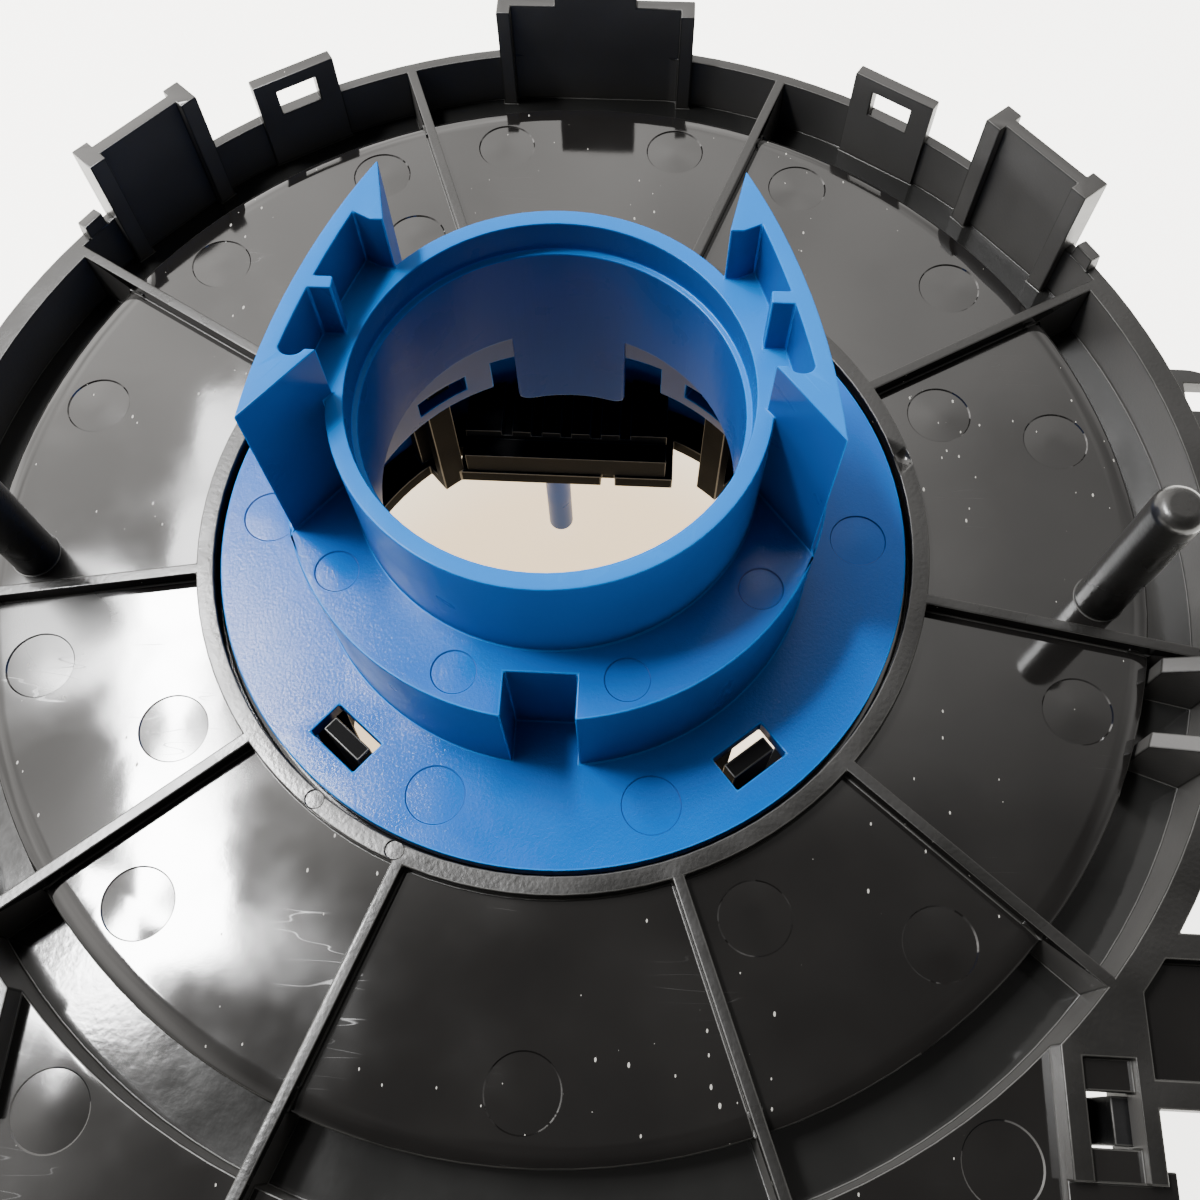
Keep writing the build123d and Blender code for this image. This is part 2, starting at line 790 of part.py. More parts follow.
def column_connector(middle, count):
    """Open socket standing on the apron, with a key rib and a latch bump."""
    half = count * column_pitch / 2 + column_wall + column_margin
    low_y = column_middle_y - column_length / 2
    high_y = column_middle_y + column_length / 2
    top = flange_top + column_height
    body = block((middle - half, middle + half), (low_y, high_y), (apron_top, top))
    body -= block((middle - half + column_wall, middle + half - column_wall),
                  (low_y + column_wall, high_y - column_wall), (flange_top + column_base, top + past))
    key = block((middle - key_width / 2, middle + key_width / 2),
                (low_y + column_wall, low_y + column_wall + key_depth), (flange_top + column_base, top))
    bump = block((middle - key_width, middle + key_width), (low_y - key_depth, low_y),
                 (top - column_base - key_depth, top - column_base))
    bump = chamfer(bump.edges().filter_by(Axis.X).group_by(Axis.Z)[-1].sort_by(Axis.Y)[0], key_depth / 2)
    return body + key + bump - column_terminals(middle, count)


# ---- front rotor
def socket_shell(side):
    """Open socket below the rotor plate, on the side given by its sign."""
    half = socket_half_length
    outer = block((socket_inner_x, socket_outer_x), (-half, half), (face_low, rotor_low))
    inner = block((socket_inner_x + socket_wall, socket_outer_x - socket_wall),
                  (socket_wall - half, half - socket_wall), (face_low - past, rotor_low))
    key = block((socket_outer_x - socket_wall - key_depth, socket_outer_x - socket_wall),
                (-key_width / 2, key_width / 2), (face_low, insert_low))
    shell = outer - inner + key
    return shell if side > 0 else mirror(shell, about=Plane.YZ)


def rotor_plate():
    """Plate with its shelf for the terminal block and the pin hole through it."""
    plate = ring(rotor_opening, rotor_radius, rotor_low, drum_low)
    shelf = block((shelf_low_x, shelf_high_x), (shelf_edge, rotor_opening), (rotor_low, drum_low))
    notch_half = shelf_notch_width / 2
    shelf -= block((shelf_notch_x - notch_half, shelf_notch_x + notch_half),
                   (shelf_edge - past, shelf_edge + shelf_notch_depth), (rotor_low - past, drum_low + past))
    hole = Circle(index_radius + pin_gap)
    return plate + shelf - Pos(index_x, index_y, rotor_low - past) * extrude(hole, rotor_thickness + 2 * past)


def rotor_hook():
    """Dowel leg that rises into a catch hole of the flange, drawn along +X."""
    inner = catch_hole_radius - hook_thickness / 2
    return block((inner, inner + hook_thickness), (-hook_width / 2, hook_width / 2),
                 (drum_low - root, flange_top - clearance))


def catch_arm():
    """Snap arm whose nose sits in a window of the hub's skirt, drawn on the +X +Y side."""
    angle = 90 - window_offset
    inner = step_radius + arm_gap
    outer = inner + arm_thickness
    top = flange_low - window_drop - clearance
    low = top - window_height + 2 * clearance
    arm = arc_wall(inner, outer, angle, arm_spread, rotor_low, top)
    nose = arc_wall(inner - nose_depth, outer, angle, arm_spread, low, top)
    base = arc_wall(inner, rotor_opening + root, angle, arm_spread, rotor_low, drum_low)
    return arm + nose + base


def front_rotor():
    """Wheel-side plate with its sockets, drive lug, dowel legs and snap arms."""
    body = rotor_plate()
    for angle in catch_angles():
        body += turned(angle, rotor_hook())
    pair = both_sides(catch_arm())
    body += pair + mirror(pair, about=Plane.XZ)
    body += socket_shell(1) + socket_shell(-1)
    body += block((-lug_half_width, lug_half_width), (-lug_outer, -lug_inner), (face_low, rotor_low))
    return body


def rotor_pins(side, count):
    """Contact pins in one row of a rotor socket."""
    x = side * (socket_inner_x + socket_outer_x) / 2
    half = pin_size / 2
    shape = None
    for number in range(count):
        y = (number - (count - 1) / 2) * rotor_pin_pitch
        pin = block((x - half, x + half), (y - half, y + half), (insert_low - rotor_pin_reach, rotor_low))
        pin = chamfer(pin.edges().group_by(Axis.Z)[0], pin_size / 4)
        shape = pin if shape is None else shape + pin
    return shape


def rotor_insert(side, count):
    """Insulating insert at the bottom of a rotor socket."""
    inner = socket_inner_x + socket_wall
    outer = socket_outer_x - socket_wall
    half = socket_half_length - socket_wall
    plan = sorted((side * inner, side * outer))
    body = block(plan, (-half, half), (insert_low, rotor_low))
    return body - rotor_pins(side, count)


def inner_terminal_block():
    """Stepped block on the rotor's shelf, inside the drum, with lead slots in its upper step."""
    top = drum_low + inner_block_height
    front = shelf_edge + clearance
    back = front + inner_block_front
    ends = (shelf_low_x + inner_block_inset, shelf_high_x - inner_block_inset)
    body = block(ends, (front, drum_radius), (drum_low, top))
    body -= block((-far, far), (front - past, back), (top - inner_block_step, top + past))
    middle = (ends[0] + ends[1]) / 2
    groove = top - inner_block_step / 2
    for number in range(-2, 3):
        x = middle + number * rotor_pin_pitch
        body -= block((x - lead_width / 2, x + lead_width / 2), (back, far), (groove, top + past))
    return body & disc(drum_radius - drum_wall - clearance, drum_low, top)


def index_pin():
    """Pin through the shelf, headed against the terminal block."""
    pin = Pos(index_x, index_y, drum_low - index_length) * extrude(Circle(index_radius), index_length)
    return chamfer(pin.edges().group_by(Axis.Z)[0], index_radius / 3)


pieces = {
    "rear_cover": rear_cover(),
    "front_housing": front_housing(),
    "upper_slide_sheet": slide_sheet(band_low - sheet_thickness),
    "lower_slide_sheet": slide_sheet(floor_top),
    "flat_cable": flat_cable(),
    "inner_end_plate": inner_end_plate(),
    "outer_end_plate": outer_end_plate(),
    "outer_terminal_block": outer_terminal_block(),
    "outer_leads": outer_leads(),
    "column_airbag_connector": column_connector(column_airbag_x, column_airbag_pins),
    "column_airbag_terminals": column_terminals(column_airbag_x, column_airbag_pins),
    "column_switch_connector": column_connector(column_switch_x, column_switch_pins),
    "column_switch_terminals": column_terminals(column_switch_x, column_switch_pins),
    "hub": hub(),
    "front_rotor": front_rotor(),
    "inner_terminal_block": inner_terminal_block(),
    "index_pin": index_pin(),
    "airbag_insert": rotor_insert(-1, airbag_pins),
    "airbag_terminals": rotor_pins(-1, airbag_pins),
    "switch_insert": rotor_insert(1, switch_pins),
    "switch_terminals": rotor_pins(1, switch_pins),
}
os.makedirs("parts", exist_ok=True)
for name, shape in pieces.items():
    export_step(shape, f"parts/{name}.step")
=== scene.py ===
from math import cos, degrees, hypot, radians, sin

import bpy
from mathutils import Matrix, Vector


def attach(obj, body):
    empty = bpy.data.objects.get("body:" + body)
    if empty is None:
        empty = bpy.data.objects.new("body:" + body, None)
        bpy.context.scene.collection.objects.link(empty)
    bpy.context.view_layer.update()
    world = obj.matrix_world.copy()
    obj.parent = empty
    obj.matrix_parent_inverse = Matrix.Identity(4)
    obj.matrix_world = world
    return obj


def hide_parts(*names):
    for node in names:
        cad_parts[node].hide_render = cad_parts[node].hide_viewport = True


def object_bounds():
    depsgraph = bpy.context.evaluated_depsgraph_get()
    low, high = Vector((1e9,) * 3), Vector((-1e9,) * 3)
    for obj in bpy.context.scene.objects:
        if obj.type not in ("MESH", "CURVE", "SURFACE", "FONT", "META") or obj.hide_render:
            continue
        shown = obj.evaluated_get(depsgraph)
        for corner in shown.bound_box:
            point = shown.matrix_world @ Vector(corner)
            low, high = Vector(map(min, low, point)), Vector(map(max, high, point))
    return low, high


# Steering clock spring: a ribbed black cover and housing, with a blue hub that turns in them.
# Blender units are metres; sizes here are written in millimetres and turned by MM.
MM = 0.001

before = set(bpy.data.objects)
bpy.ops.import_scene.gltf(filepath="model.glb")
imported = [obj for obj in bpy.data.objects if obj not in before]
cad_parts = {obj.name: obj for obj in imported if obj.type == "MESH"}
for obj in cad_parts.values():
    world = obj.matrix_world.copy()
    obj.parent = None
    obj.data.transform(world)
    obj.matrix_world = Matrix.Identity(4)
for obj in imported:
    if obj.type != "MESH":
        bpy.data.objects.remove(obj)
cad_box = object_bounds()

# ---- Camera
# It looks down on the rear side, from a little right of the apron's middle line.
CAMERA_AIM = Vector((3.9, -7.2, -12.0)) * MM
CAMERA_DISTANCE = 107.9 * MM
CAMERA_AZIMUTH = radians(4.48)
CAMERA_ELEVATION = radians(65.87)
CAMERA_ROLL = radians(-1.67)
CAMERA_LENS = 35.43

back = Vector((sin(CAMERA_AZIMUTH) * cos(CAMERA_ELEVATION),
               -cos(CAMERA_AZIMUTH) * cos(CAMERA_ELEVATION),
               sin(CAMERA_ELEVATION)))
level = Vector((0, 0, 1)).cross(back).normalized()
right = Matrix.Rotation(CAMERA_ROLL, 3, back) @ level
up = back.cross(right)
camera_data = bpy.data.cameras.new("view")
camera_data.lens = CAMERA_LENS
camera_data.clip_start = 5 * MM
camera = bpy.data.objects.new("view", camera_data)
turn = Matrix((right, up, back)).transposed().to_4x4()
camera.matrix_world = Matrix.Translation(CAMERA_AIM + CAMERA_DISTANCE * back) @ turn
bpy.context.scene.collection.objects.link(camera)
bpy.context.scene.camera = camera


# ---- Front housing
# The bowl that holds the ribbon: one black PBT moulding with a drop of glass fibre.  Its outside comes
# from a satin tool, so it is duller than the cover, and its free edges are rounded as moulded edges are
# and painted lighter, partly as rubbing and partly as a painted highlight.
def linear(colour):
    """Linear RGBA of an sRGB hex colour."""
    parts = [int(colour[i:i + 2], 16) / 255 for i in (1, 3, 5)]
    return [c / 12.92 if c <= 0.04045 else ((c + 0.055) / 1.055) ** 2.4 for c in parts] + [1]


def add(tree, kind, links=(), **settings):
    """A node with its settings, and its inputs linked to outputs or set to values."""
    node = tree.nodes.new("ShaderNode" + kind)
    for name, value in settings.items():
        setattr(node, name, value)
    for name, value in dict(links).items():
        if isinstance(value, bpy.types.NodeSocket):
            tree.links.new(value, node.inputs[name])
        else:
            node.inputs[name].default_value = value
    return node


def new_material(name):
    """An empty node material and its shader."""
    material = bpy.data.materials.new(name)
    material.use_nodes = True
    tree = material.node_tree
    shader = tree.nodes["Principled BSDF"]
    return material, tree, shader


def only(piece):
    """Selects one piece and makes it active."""
    bpy.ops.object.select_all(action="DESELECT")
    piece.select_set(True)
    bpy.context.view_layer.objects.active = piece


def apply_modifier(piece, kind, **settings):
    """Adds a modifier and applies it."""
    modifier = piece.modifiers.new(kind.lower(), kind)
    for name, value in settings.items():
        setattr(modifier, name, value)
    only(piece)
    bpy.ops.object.modifier_apply(modifier=modifier.name)


SMOOTH_ANGLE = radians(32)
MERGE_REACH = 0.002
FLAT_ANGLE = radians(0.5)
QUAD_ANGLE = radians(60)
# Material slots of a dressed moulding: its main finish, and that of its rounded edges.
MAIN, ROUNDED = 0, 1


def merged_copy(node, name, *materials):
    """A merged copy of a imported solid, in paired triangles so that round walls shade evenly."""
    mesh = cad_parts[node].data.copy()
    piece = bpy.data.objects.new(name, mesh)
    bpy.context.scene.collection.objects.link(piece)
    only(piece)
    bpy.ops.mesh.customdata_custom_splitnormals_clear()
    bpy.ops.object.mode_set(mode="EDIT")
    bpy.ops.mesh.select_all(action="SELECT")
    bpy.ops.mesh.remove_doubles(threshold=MERGE_REACH * MM)
    bpy.ops.mesh.tris_convert_to_quads(face_threshold=FLAT_ANGLE, shape_threshold=QUAD_ANGLE)
    bpy.ops.object.mode_set(mode="OBJECT")
    mesh.materials.clear()
    for material in materials:
        mesh.materials.append(material)
    for face in mesh.polygons:
        face.material_index = MAIN
    return piece


def round_edges(piece, width):
    """Rounds every sharp edge of a piece, and gives the rounds their own finish, which is painted lighter as
    a highlight.
    """
    apply_modifier(piece, "BEVEL", width=width * MM, segments=2, limit_method="ANGLE",
                   angle_limit=SMOOTH_ANGLE, use_clamp_overlap=False, material=ROUNDED)


def smooth(piece):
    """Round faces shade smoothly and flat ones stay flat."""
    only(piece)
    bpy.ops.object.shade_smooth_by_angle(angle=SMOOTH_ANGLE)
    apply_modifier(piece, "WEIGHTED_NORMAL", mode="FACE_AREA", weight=100, keep_sharp=True)


def finish_piece(piece, body, slot, *nodes):
    """Smooths a piece, ties it to its body and hides the nodes that it stands for; its slot is not used."""
    smooth(piece)
    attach(piece, body)
    if nodes:
        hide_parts(*nodes)


CLOUD_SIZE = 7


def moulded_black(name, colours, sheen, grain_size, grain_depth, shine=0.5, index=1.57):
    """Moulded PBT: near-black, with clouds of duller and glossier skin and the tool's grain."""
    material, tree, shader = new_material(name)
    place = add(tree, "TexCoord").outputs["Object"]
    cloud = add(tree, "TexNoise", {"Vector": place, "Scale": 1 / (CLOUD_SIZE * MM), "Detail": 4.0})
    grain = add(tree, "TexNoise", {"Vector": place, "Scale": 1 / (grain_size * MM), "Detail": 2.0})
    tint = add(tree, "Mix", {"Factor": cloud.outputs["Fac"], "A": linear(colours[0]),
                             "B": linear(colours[1])}, data_type="RGBA")
    tree.links.new(tint.outputs["Result"], shader.inputs["Base Color"])
    rough = add(tree, "MapRange", {"Value": cloud.outputs["Fac"], "From Min": 0.3, "From Max": 0.7,
                                   "To Min": sheen[0], "To Max": sheen[1]})
    tree.links.new(rough.outputs["Result"], shader.inputs["Roughness"])
    bump = add(tree, "Bump", {"Height": grain.outputs["Fac"], "Strength": 0.6,
                              "Distance": grain_depth * MM})
    tree.links.new(bump.outputs["Normal"], shader.inputs["Normal"])
    shader.inputs["IOR"].default_value = index
    shader.inputs["Specular IOR Level"].default_value = shine
    return material


satin_black = moulded_black("moulded PBT, satin", ("#0d0d0e", "#161616"), sheen=(0.34, 0.46),
                            grain_size=0.35, grain_depth=0.02, shine=0.12)
# Lighter on every rounded edge: partly rubbing, and partly a painted highlight.
rubbed_and_highlighted_edge = moulded_black("moulded PBT, rubbed edge with painted highlight", ("#151514", "#33322f"), sheen=(0.34, 0.5),
                          grain_size=0.5, grain_depth=0.03)
HOUSING_ROUND = 0.15
housing = merged_copy("front_housing", "front_housing_moulding", satin_black, rubbed_and_highlighted_edge)
round_edges(housing, HOUSING_ROUND)
finish_piece(housing, "housing", "housing", "front_housing")


# ---- Slide sheets
# Two thin rings of white PTFE-coated polyester, punched out.  They let the ribbon slip, and rubbing has
# left faint grey tracks round them.
TRACK_SPACING = 9


def sheet_film():
    """Punched film: milky, waxy, with faint circular rub tracks."""
    material, tree, shader = new_material("PTFE-coated polyester film, punched")
    place = add(tree, "TexCoord").outputs["Object"]
    track = add(tree, "TexWave", {"Vector": place, "Scale": 1 / (TRACK_SPACING * MM), "Distortion": 1.5,
                                  "Detail": 2.0}, wave_type="RINGS", rings_direction="Z")
    tint = add(tree, "Mix", {"Factor": track.outputs["Fac"], "A": linear("#dcdcd5"),
                             "B": linear("#cfcec6")}, data_type="RGBA")
    tree.links.new(tint.outputs["Result"], shader.inputs["Base Color"])
    rough = add(tree, "MapRange", {"Value": track.outputs["Fac"], "To Min": 0.35, "To Max": 0.5})
    tree.links.new(rough.outputs["Result"], shader.inputs["Roughness"])
    shader.inputs["IOR"].default_value = 1.4
    return material


white_film = sheet_film()
for name in ("upper_slide_sheet", "lower_slide_sheet"):
    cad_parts[name].material_slots[0].material = white_film


# ---- Flat cable and its end plates
# Copper strips between two polyester films, wound in a spiral.  The strips show through the film as
# darker lines along it, and the end plates are the bare stiffened ends.
STRIP_PITCH = 1.5
STRIP_EDGE = (0.9, 1.0)
FILM_PATCH = 2


def ribbon_film():
    """Laminated ribbon: amber-grey film with copper strips along it."""
    material, tree, shader = new_material("polyester film over rolled copper, laminated")
    place = add(tree, "TexCoord").outputs["Object"]
    height = add(tree, "SeparateXYZ", {"Vector": place}).outputs["Z"]
    strip = add(tree, "Math", {0: height, 1: STRIP_PITCH * MM}, operation="PINGPONG")
    line = add(tree, "MapRange", {"Value": strip.outputs["Value"], "From Min": STRIP_EDGE[0] * MM,
                                  "From Max": STRIP_EDGE[1] * MM})
    tint = add(tree, "Mix", {"Factor": line.outputs["Result"], "A": linear("#b87a4b"),
                             "B": linear("#d8d2c0")}, data_type="RGBA")
    tree.links.new(tint.outputs["Result"], shader.inputs["Base Color"])
    skin = add(tree, "TexNoise", {"Vector": place, "Scale": 1 / (FILM_PATCH * MM), "Detail": 2.0})
    rough = add(tree, "MapRange", {"Value": skin.outputs["Fac"], "To Min": 0.15, "To Max": 0.3})
    tree.links.new(rough.outputs["Result"], shader.inputs["Roughness"])
    shader.inputs["IOR"].default_value = 1.6
    return material


laminate = ribbon_film()
for name in ("flat_cable", "inner_end_plate", "outer_end_plate"):
    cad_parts[name].material_slots[0].material = laminate


# ---- Terminal blocks and leads
# Matt black insulators that carry the stamped brass leads.  The leads are tin plated, which is grey and
# softly shiny with darker patches where it was handled.
STAIN_SIZE = 1.5


def plated_tin():
    """Bright tin on stamped brass: softly shiny rolled strip with faint stains."""
    material, tree, shader = new_material("tin-plated brass, stamped")
    place = add(tree, "TexCoord").outputs["Object"]
    stain = add(tree, "TexNoise", {"Vector": place, "Scale": 1 / (STAIN_SIZE * MM), "Detail": 3.0})
    tint = add(tree, "Mix", {"Factor": stain.outputs["Fac"], "A": linear("#b9b4a6"),
                             "B": linear("#d9d5ca")}, data_type="RGBA")
    tree.links.new(tint.outputs["Result"], shader.inputs["Base Color"])
    rough = add(tree, "MapRange", {"Value": stain.outputs["Fac"], "To Min": 0.42, "To Max": 0.22})
    tree.links.new(rough.outputs["Result"], shader.inputs["Roughness"])
    shader.inputs["Metallic"].default_value = 1.0
    return material


tin = plated_tin()
matt_black = moulded_black("moulded PBT, matt", ("#111112", "#1a1a1a"), sheen=(0.55, 0.7),
                           grain_size=0.25, grain_depth=0.03, shine=0.2, index=1.2)
BLOCK_ROUND = 0.08
for name in ("outer_leads", "column_airbag_terminals", "column_switch_terminals", "airbag_terminals",
             "switch_terminals"):
    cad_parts[name].material_slots[0].material = tin
for node, body_name in (("outer_terminal_block", "housing"), ("inner_terminal_block", "rotor"),
                        ("airbag_insert", "rotor"), ("switch_insert", "rotor")):
    block = merged_copy(node, node + "_moulding", matt_black, rubbed_and_highlighted_edge)
    round_edges(block, BLOCK_ROUND)
    finish_piece(block, body_name, "insulator", node)


# ---- Column connectors
# Open plug shells on the apron, moulded in black PBT with a key along one side, matt so that the
# harness plug slides in.
SHELL_ROUND = 0.12
for node in ("column_airbag_connector", "column_switch_connector"):
    shell = merged_copy(node, node + "_moulding", matt_black, rubbed_and_highlighted_edge)
    round_edges(shell, SHELL_ROUND)
    finish_piece(shell, "housing", "insulator", node)


# ---- Rear cover
# One black moulding in PBT from a polished tool: mirror-smooth plates with ribs, a rim with clip towers,
# posts and ears.  Ejector pins leave round marks in the plates, and the rib tops are a duller black.
# The inner walls of the rim and its towers are painted a lighter grey than the plates: painted light.
PLATE_LEVEL = -13.0
RIB_LEVEL = -11.5
APRON_LEVEL = -14.0
BAND_LEVEL = -17.5
RIB_ANGLES = (-160, -120, -80, -50, -20, 20, 50, 80, 120, 160)
RIB_HALF = 0.5
COVER_ROUND = 0.14
WALL_START = 54.8  # radius beyond which the walls are eroded, not polished, and painted a lighter grey as painted light
# The plates bow down a little towards their outer edge: radius and drop.
PLATE_BOW = ((52.4, 0.0), (53.0, 0.03), (53.6, 0.12), (54.1, 0.26), (54.6, 0.46))
BOW_STEPS = 12
BOW_HEADROOM = 0.5
# The posts: where the right one stands, the height, rounding and reach of their tops, and the space round
# them, from their foot up, that is dull.
POST_PLACE = (49.6, -4.5)
POST_TOP = 5.0
POST_ROUND = 1.2
POST_TOP_REACH = 2.5
POST_REACH = 3.2
POST_FOOT = PLATE_LEVEL + 0.1
# Ejector marks: radius from the hub axis, degrees from -Y, level and mark radius.
COVER_MARKS = ([(49.0, angle, PLATE_LEVEL, 3.0) for angle in
                (0, 42.5, -42.5, 71.5, -71.5, 104.5, -104.5, 128.5, -128.5, 152.3, -152.3, 169, -169)]
               + [(39.2, angle, PLATE_LEVEL, 3.0) for angle in (-57.8, 27.5, 112.2, -152.7)]
               + [(64.0, angle, APRON_LEVEL, 3.1) for angle in (35.4, -35.4)]
               + [(33.2, angle, RIB_LEVEL, 0.75) for angle in (-35.6, -21.2, 105)])
COVER_MARK_DEPTH = 0.12
# The polished finish: sizes of its flow waves, hazy patches, skin, dust cells and hair scratches, the depth
# of the waves and the skin, and the dull spot where the column switch has rested beside the left post.
FLOW_SIZE = 16
HAZE_SIZE = 12
SKIN_SIZE = 0.8
DUST_CELL = 0.9
HAIR_SIZE = 1.6
WAVE_DEPTH = 0.05
SKIN_DEPTH = 0.006
SCUFF_PLACE = (-46.0, -11.0, PLATE_LEVEL)
SCUFF_REACH = (3, 9)
SAME_LEVEL = 0.02  # heights this close are one
SAME_PLANE = radians(1)  # faces this close in angle are one


def dust_grains(tree, place, flow):
    """Dust: one grain in each cell, most too small to show, and only where the flow waves gather it."""
    lint = add(tree, "Mapping", {"Vector": place, "Rotation": (0, 0, 0.9), "Scale": (1, 0.5, 1)})
    dust = add(tree, "TexVoronoi", {"Vector": lint.outputs["Vector"], "Scale": 1 / (DUST_CELL * MM),
                                    "Randomness": 1.0})
    size = add(tree, "SeparateColor", {"Color": dust.outputs["Color"]})
    largest = add(tree, "MapRange", {"Value": size.outputs["Red"], "From Min": 0.3, "From Max": 1.0,
                                     "To Min": 0.0, "To Max": 0.13})
    gathered = add(tree, "MapRange", {"Value": flow, "From Min": 0.43, "From Max": 0.56})
    reach = add(tree, "Math", {0: largest.outputs["Result"], 1: gathered.outputs["Result"]},
                operation="MULTIPLY")
    grains = add(tree, "Math", {0: dust.outputs["Distance"], 1: reach.outputs["Value"]},
                 operation="LESS_THAN")
    return grains.outputs["Value"]


def hair_scratches(tree, place, haze):
    """Hair scratches: the thin crests of a stretched noise, in the haziest patches."""
    stretched = add(tree, "Mapping", {"Vector": place, "Rotation": (0, 0, 0.7), "Scale": (0.12, 1.0, 1.0)})
    hair = add(tree, "TexNoise", {"Vector": stretched.outputs["Vector"], "Scale": 1 / (HAIR_SIZE * MM),
                                  "Detail": 1.0})
    crest = add(tree, "Math", {0: hair.outputs["Fac"], 1: 0.5}, operation="SUBTRACT")
    off = add(tree, "Math", {0: crest.outputs["Value"]}, operation="ABSOLUTE")
    line = add(tree, "MapRange", {"Value": off.outputs["Value"], "From Min": 0.0, "From Max": 0.006,
                                  "To Min": 1.0, "To Max": 0.0})
    patch = add(tree, "MapRange", {"Value": haze, "From Min": 0.58, "From Max": 0.66})
    scratch = add(tree, "Math", {0: line.outputs["Result"], 1: patch.outputs["Result"]},
                  operation="MULTIPLY")
    return scratch.outputs["Value"]


def polished_black():
    """Moulded PBT, polished tool: deep gloss, flow waviness, hazy patches, dust and hair scratches."""
    material, tree, shader = new_material("moulded PBT, polished")
    place = add(tree, "TexCoord").outputs["Object"]
    flow = add(tree, "TexNoise", {"Vector": place, "Scale": 1 / (FLOW_SIZE * MM), "Detail": 2.0,
                                  "Roughness": 0.45, "Distortion": 0.8}).outputs["Fac"]
    haze = add(tree, "TexNoise", {"Vector": place, "Scale": 1 / (HAZE_SIZE * MM), "Detail": 3.0,
                                  "Roughness": 0.5}).outputs["Fac"]
    fine = add(tree, "TexNoise", {"Vector": place, "Scale": 1 / (SKIN_SIZE * MM), "Detail": 3.0,
                                  "Roughness": 0.6}).outputs["Fac"]
    grains = dust_grains(tree, place, flow)
    scratch = hair_scratches(tree, place, haze)
    tint = add(tree, "Mix", {"Factor": haze, "A": linear("#0b0a0a"), "B": linear("#191817")},
               data_type="RGBA")
    dusty = add(tree, "Mix", {"Factor": grains, "A": tint.outputs["Result"], "B": linear("#94928c")},
                data_type="RGBA")
    tree.links.new(dusty.outputs["Result"], shader.inputs["Base Color"])
    rough = add(tree, "MapRange", {"Value": haze, "From Min": 0.42, "From Max": 0.68,
                                   "To Min": 0.05, "To Max": 0.13})
    rubbed = add(tree, "Math", {0: scratch, 1: 0.18, 2: rough.outputs["Result"]}, operation="MULTIPLY_ADD")
    dulled = add(tree, "Math", {0: grains, 1: 0.5, 2: rubbed.outputs["Value"]}, operation="MULTIPLY_ADD")
    away = add(tree, "VectorMath", {0: place, 1: [part * MM for part in SCUFF_PLACE]}, operation="DISTANCE")
    scuff = add(tree, "MapRange", {"Value": away.outputs["Value"], "From Min": SCUFF_REACH[0] * MM,
                                   "From Max": SCUFF_REACH[1] * MM, "To Min": 0.2, "To Max": 0.0},
                interpolation_type="SMOOTHSTEP")
    worn = add(tree, "Math", {0: scuff.outputs["Result"], 1: dulled.outputs["Value"]}, operation="ADD")
    tree.links.new(worn.outputs["Value"], shader.inputs["Roughness"])
    wave = add(tree, "Bump", {"Height": flow, "Strength": 0.6, "Distance": WAVE_DEPTH * MM})
    skin = add(tree, "Bump", {"Height": fine, "Strength": 0.15, "Distance": SKIN_DEPTH * MM,
                              "Normal": wave.outputs["Normal"]})
    tree.links.new(skin.outputs["Normal"], shader.inputs["Normal"])
    shader.inputs["IOR"].default_value = 1.57
    shader.inputs["Specular IOR Level"].default_value = 0.7
    return material


def select_where(piece, what, chosen):
    """Leaves edit mode with just the chosen faces or edges of a piece selected."""
    only(piece)
    bpy.ops.object.mode_set(mode="EDIT")
    bpy.ops.mesh.select_mode(type="FACE" if what == "polygons" else "EDGE")
    bpy.ops.mesh.select_all(action="DESELECT")
    bpy.ops.object.mode_set(mode="OBJECT")
    for item in getattr(piece.data, what):
        item.select = chosen(item)
    bpy.ops.object.mode_set(mode="EDIT")


def edge_ends(piece, edge):
    """The two ends of an edge, in millimetres."""
    return [piece.data.vertices[index].co / MM for index in edge.vertices]


LEVEL_REACH = 0.15  # enough to take in the floor of a mark


def facing_up(face, level):
    """True for a level face at a height in millimetres."""
    return face.normal.z > 0.99 and abs(face.center.z / MM - level) < LEVEL_REACH


def joined(pieces, name):
    """Joins pieces into one."""
    bpy.ops.object.select_all(action="DESELECT")
    for piece in pieces:
        piece.select_set(True)
    bpy.context.view_layer.objects.active = pieces[0]
    bpy.ops.object.join()
    pieces[0].name = name
    return pieces[0]


MARK_SIDES = 48
MARK_TILT = 0.004  # radians; each mark leans its own way, as each pin ends a little askew
# The floor of a mark domes up in rings: their number, and a ring's width and rise as shares of its radius.
DOME_RINGS = 3
DOME_STEP = 0.28
DOME_RISE = 0.007


def pin_marks(name, marks, depth):
    """Cutters for ejector marks: shallow dishes with a sloping wall and a slightly domed floor."""
    cutters = []
    for number, (radius, angle, level, size) in enumerate(marks):
        bpy.ops.object.select_all(action="DESELECT")
        centre = (radius * sin(radians(angle)), -radius * cos(radians(angle)), level + 0.5 * depth)
        tilt = (MARK_TILT * sin(5 * number), MARK_TILT * cos(7 * number), 0)
        bpy.ops.mesh.primitive_cone_add(vertices=MARK_SIDES, radius1=size * MM,
                                        radius2=(size + 3 * depth) * MM, depth=3 * depth * MM,
                                        location=[part * MM for part in centre], rotation=tilt)
        cutter = bpy.context.object
        bpy.ops.object.transform_apply(location=True, rotation=True, scale=True)
        select_where(cutter, "polygons", lambda face: face.normal.z < -0.99)
        for ring in range(DOME_RINGS):
            bpy.ops.mesh.inset(thickness=size * DOME_STEP * MM, depth=0)
            bpy.ops.transform.translate(value=(0, 0, size * DOME_RISE * MM))
        bpy.ops.object.mode_set(mode="OBJECT")
        cutters.append(cutter)
    return joined(cutters, name)


def cut_away(piece, cutter):
    """Subtracts a cutter from a piece and deletes the cutter."""
    apply_modifier(piece, "BOOLEAN", operation="DIFFERENCE", object=cutter, solver="EXACT")
    bpy.data.objects.remove(cutter)


